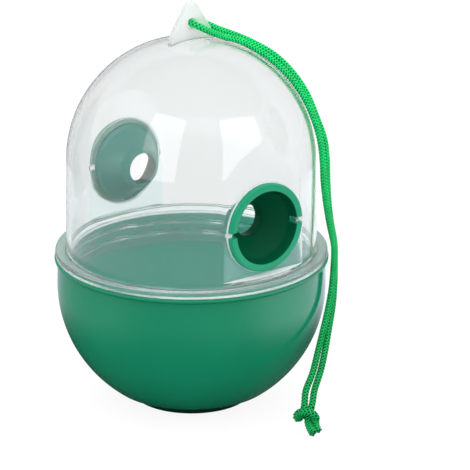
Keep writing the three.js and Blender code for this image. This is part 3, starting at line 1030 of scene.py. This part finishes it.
def add_softbox(name, receivers, around, above, roll, width, height):
    """A soft light round the trap, in degrees from the camera's direction, up, and rolled
    about its own axis. Only the receivers mirror it."""
    turn = AZIMUTH - math.pi / 2 + math.radians(around)
    tilt = math.radians(above)
    level = Vector((math.cos(turn), math.sin(turn), 0))
    out = level * math.cos(tilt) + UP * math.sin(tilt)
    data = bpy.data.lights.new(name, "AREA")
    data.shape = "RECTANGLE"
    data.size = width
    data.size_y = height
    data.energy = SOFTBOX_RADIANCE * math.pi * width * height
    light = bpy.data.objects.new(name, data)
    light.location = UP * OVERALL_HEIGHT * MM / 2 + out * SOFTBOX_DISTANCE
    aim = (-out).to_track_quat("-Z", "Y") @ Quaternion((0, 0, 1), math.radians(roll))
    light.rotation_euler = aim.to_euler()
    bpy.context.scene.collection.objects.link(light)
    light.visible_diffuse = False
    light.light_linking.receiver_collection = receivers


def stage_nodes(tree):
    """A function that adds nodes to a stage material or the world, and two shares of a ray:
    how far it is a look straight at the stage, or through glass, and how far a reflection."""

    def add(kind, *sources, **values):
        node = tree.nodes.new(kind)
        for key, value in values.items():
            if hasattr(node, key):
                setattr(node, key, value)
            else:
                node.inputs[key.replace("_", " ")].default_value = value
        for socket, source in zip(node.inputs, sources):
            if source is not None:
                tree.links.new(source, socket)
        return node

    path = add("ShaderNodeLightPath").outputs
    looked_at = add("ShaderNodeMath", path["Is Camera Ray"], path["Is Transmission Ray"],
                    operation="ADD", use_clamp=True)
    mirrored = add("ShaderNodeMath", path["Is Glossy Ray"], path["Is Transmission Ray"],
                   operation="SUBTRACT", use_clamp=True)
    return add, looked_at.outputs["Value"], mirrored.outputs["Value"]


def open_side(add, direction):
    """What glossy surfaces mirror: a studio brighter on the right, with a dark gap on the side
    that the trap is seen from."""
    flat = add("ShaderNodeVectorMath", direction, operation="NORMALIZE")
    toward = add("ShaderNodeVectorMath", flat.outputs["Vector"], operation="DOT_PRODUCT")
    toward.inputs[1].default_value = -VIEW_AWAY
    gap = add("ShaderNodeMapRange", toward.outputs["Value"], interpolation_type="SMOOTHSTEP",
              From_Min=0.4, From_Max=0.95, To_Min=1.0, To_Max=DARK_SIDE)
    sideways = add("ShaderNodeVectorMath", flat.outputs["Vector"], operation="DOT_PRODUCT")
    sideways.inputs[1].default_value = VIEW_RIGHT
    slope = add("ShaderNodeMapRange", sideways.outputs["Value"], From_Min=-1.0, From_Max=1.0,
                To_Min=LEFT_SIDE, To_Max=RIGHT_SIDE)
    both = add("ShaderNodeMath", gap.outputs["Result"], slope.outputs["Result"],
               operation="MULTIPLY")
    return both.outputs["Value"]


def add_floor():
    """A plain pale floor: bright to look at, softer where it lights the trap from below, and
    with the studio's dark side where it is mirrored."""
    mesh = bpy.data.meshes.new("floor")
    square = ((-1, -1), (1, -1), (1, 1), (-1, 1))
    corners = [(x * FLOOR_REACH, y * FLOOR_REACH, 0) for x, y in square]
    mesh.from_pydata(corners, [], [(0, 1, 2, 3)])
    floor = bpy.data.objects.new("floor", mesh)
    bpy.context.scene.collection.objects.link(floor)
    material = bpy.data.materials.new("pale_floor")
    material.use_nodes = True
    tree = material.node_tree
    tree.nodes.clear()
    add, looked_at, mirrored = stage_nodes(tree)
    grey = add("ShaderNodeBsdfDiffuse", Color=(FLOOR_GREY,) * 3 + (1,))
    glow = add("ShaderNodeEmission", Strength=FLOOR_GLOW)
    seen = add("ShaderNodeAddShader", grey.outputs["BSDF"], glow.outputs["Emission"])
    bounce = add("ShaderNodeBsdfDiffuse", Color=(FLOOR_BOUNCE,) * 3 + (1,))
    place = add("ShaderNodeNewGeometry").outputs["Position"]
    far = add("ShaderNodeVectorMath", place, operation="LENGTH")
    shade = add("ShaderNodeMapRange", far.outputs["Value"], interpolation_type="SMOOTHSTEP",
                From_Min=SHADE_FROM, From_Max=SHADE_TO, To_Min=0.06, To_Max=1.0)
    pool = add("ShaderNodeMapRange", far.outputs["Value"], interpolation_type="SMOOTHSTEP",
               From_Min=POOL_FROM, From_Max=POOL_TO, To_Min=1.35, To_Max=0.5)
    disc = add("ShaderNodeMath", shade.outputs["Result"], pool.outputs["Result"],
               operation="MULTIPLY")
    strength = add("ShaderNodeMath", open_side(add, place), disc.outputs["Value"],
                   operation="MULTIPLY")
    mirror = add("ShaderNodeEmission", None, strength.outputs["Value"], Color=MIRROR_TINT)
    lit = add("ShaderNodeMixShader", looked_at, bounce.outputs["BSDF"], seen.outputs["Shader"])
    mix = add("ShaderNodeMixShader", mirrored, lit.outputs["Shader"], mirror.outputs["Emission"])
    add("ShaderNodeOutputMaterial", mix.outputs["Shader"])
    mesh.materials.append(material)


def add_world():
    """White to look at. It lights the trap more from above, and its mirror image has the
    studio's dark side."""
    world = bpy.data.worlds.new("studio")
    world.use_nodes = True
    tree = world.node_tree
    tree.nodes.clear()
    add, looked_at, mirrored = stage_nodes(tree)
    direction = add("ShaderNodeTexCoord").outputs["Generated"]
    height = add("ShaderNodeSeparateXYZ", direction).outputs["Z"]
    sky = add("ShaderNodeMapRange", height, From_Min=0.0, From_Max=1.0,
              To_Min=SKY_HORIZON, To_Max=SKY_TOP)
    seen = add("ShaderNodeMix", looked_at, None, sky.outputs["Result"], B=1.0)
    mixed = add("ShaderNodeMix", mirrored, None, seen.outputs["Result"], open_side(add, direction))
    background = add("ShaderNodeBackground", None, mixed.outputs["Result"])
    add("ShaderNodeOutputWorld", background.outputs["Background"])
    bpy.context.scene.world = world


def add_studio():
    add_world()
    add_floor()
    receivers = bpy.data.collections.new("softbox_receivers")
    receivers.objects.link(bpy.data.objects["dome_moulding"])
    add_softbox("left_softbox", receivers, around=-30, above=22, roll=0, width=0.66, height=1.45)
    add_softbox("right_softbox", receivers, around=51, above=16, roll=-16, width=0.78, height=1.3)
    bpy.context.scene.view_settings.view_transform = "Standard"


add_camera()
add_cord()
add_bowl()
add_dome()
add_funnels()
add_studio()

bpy.context.view_layer.update()
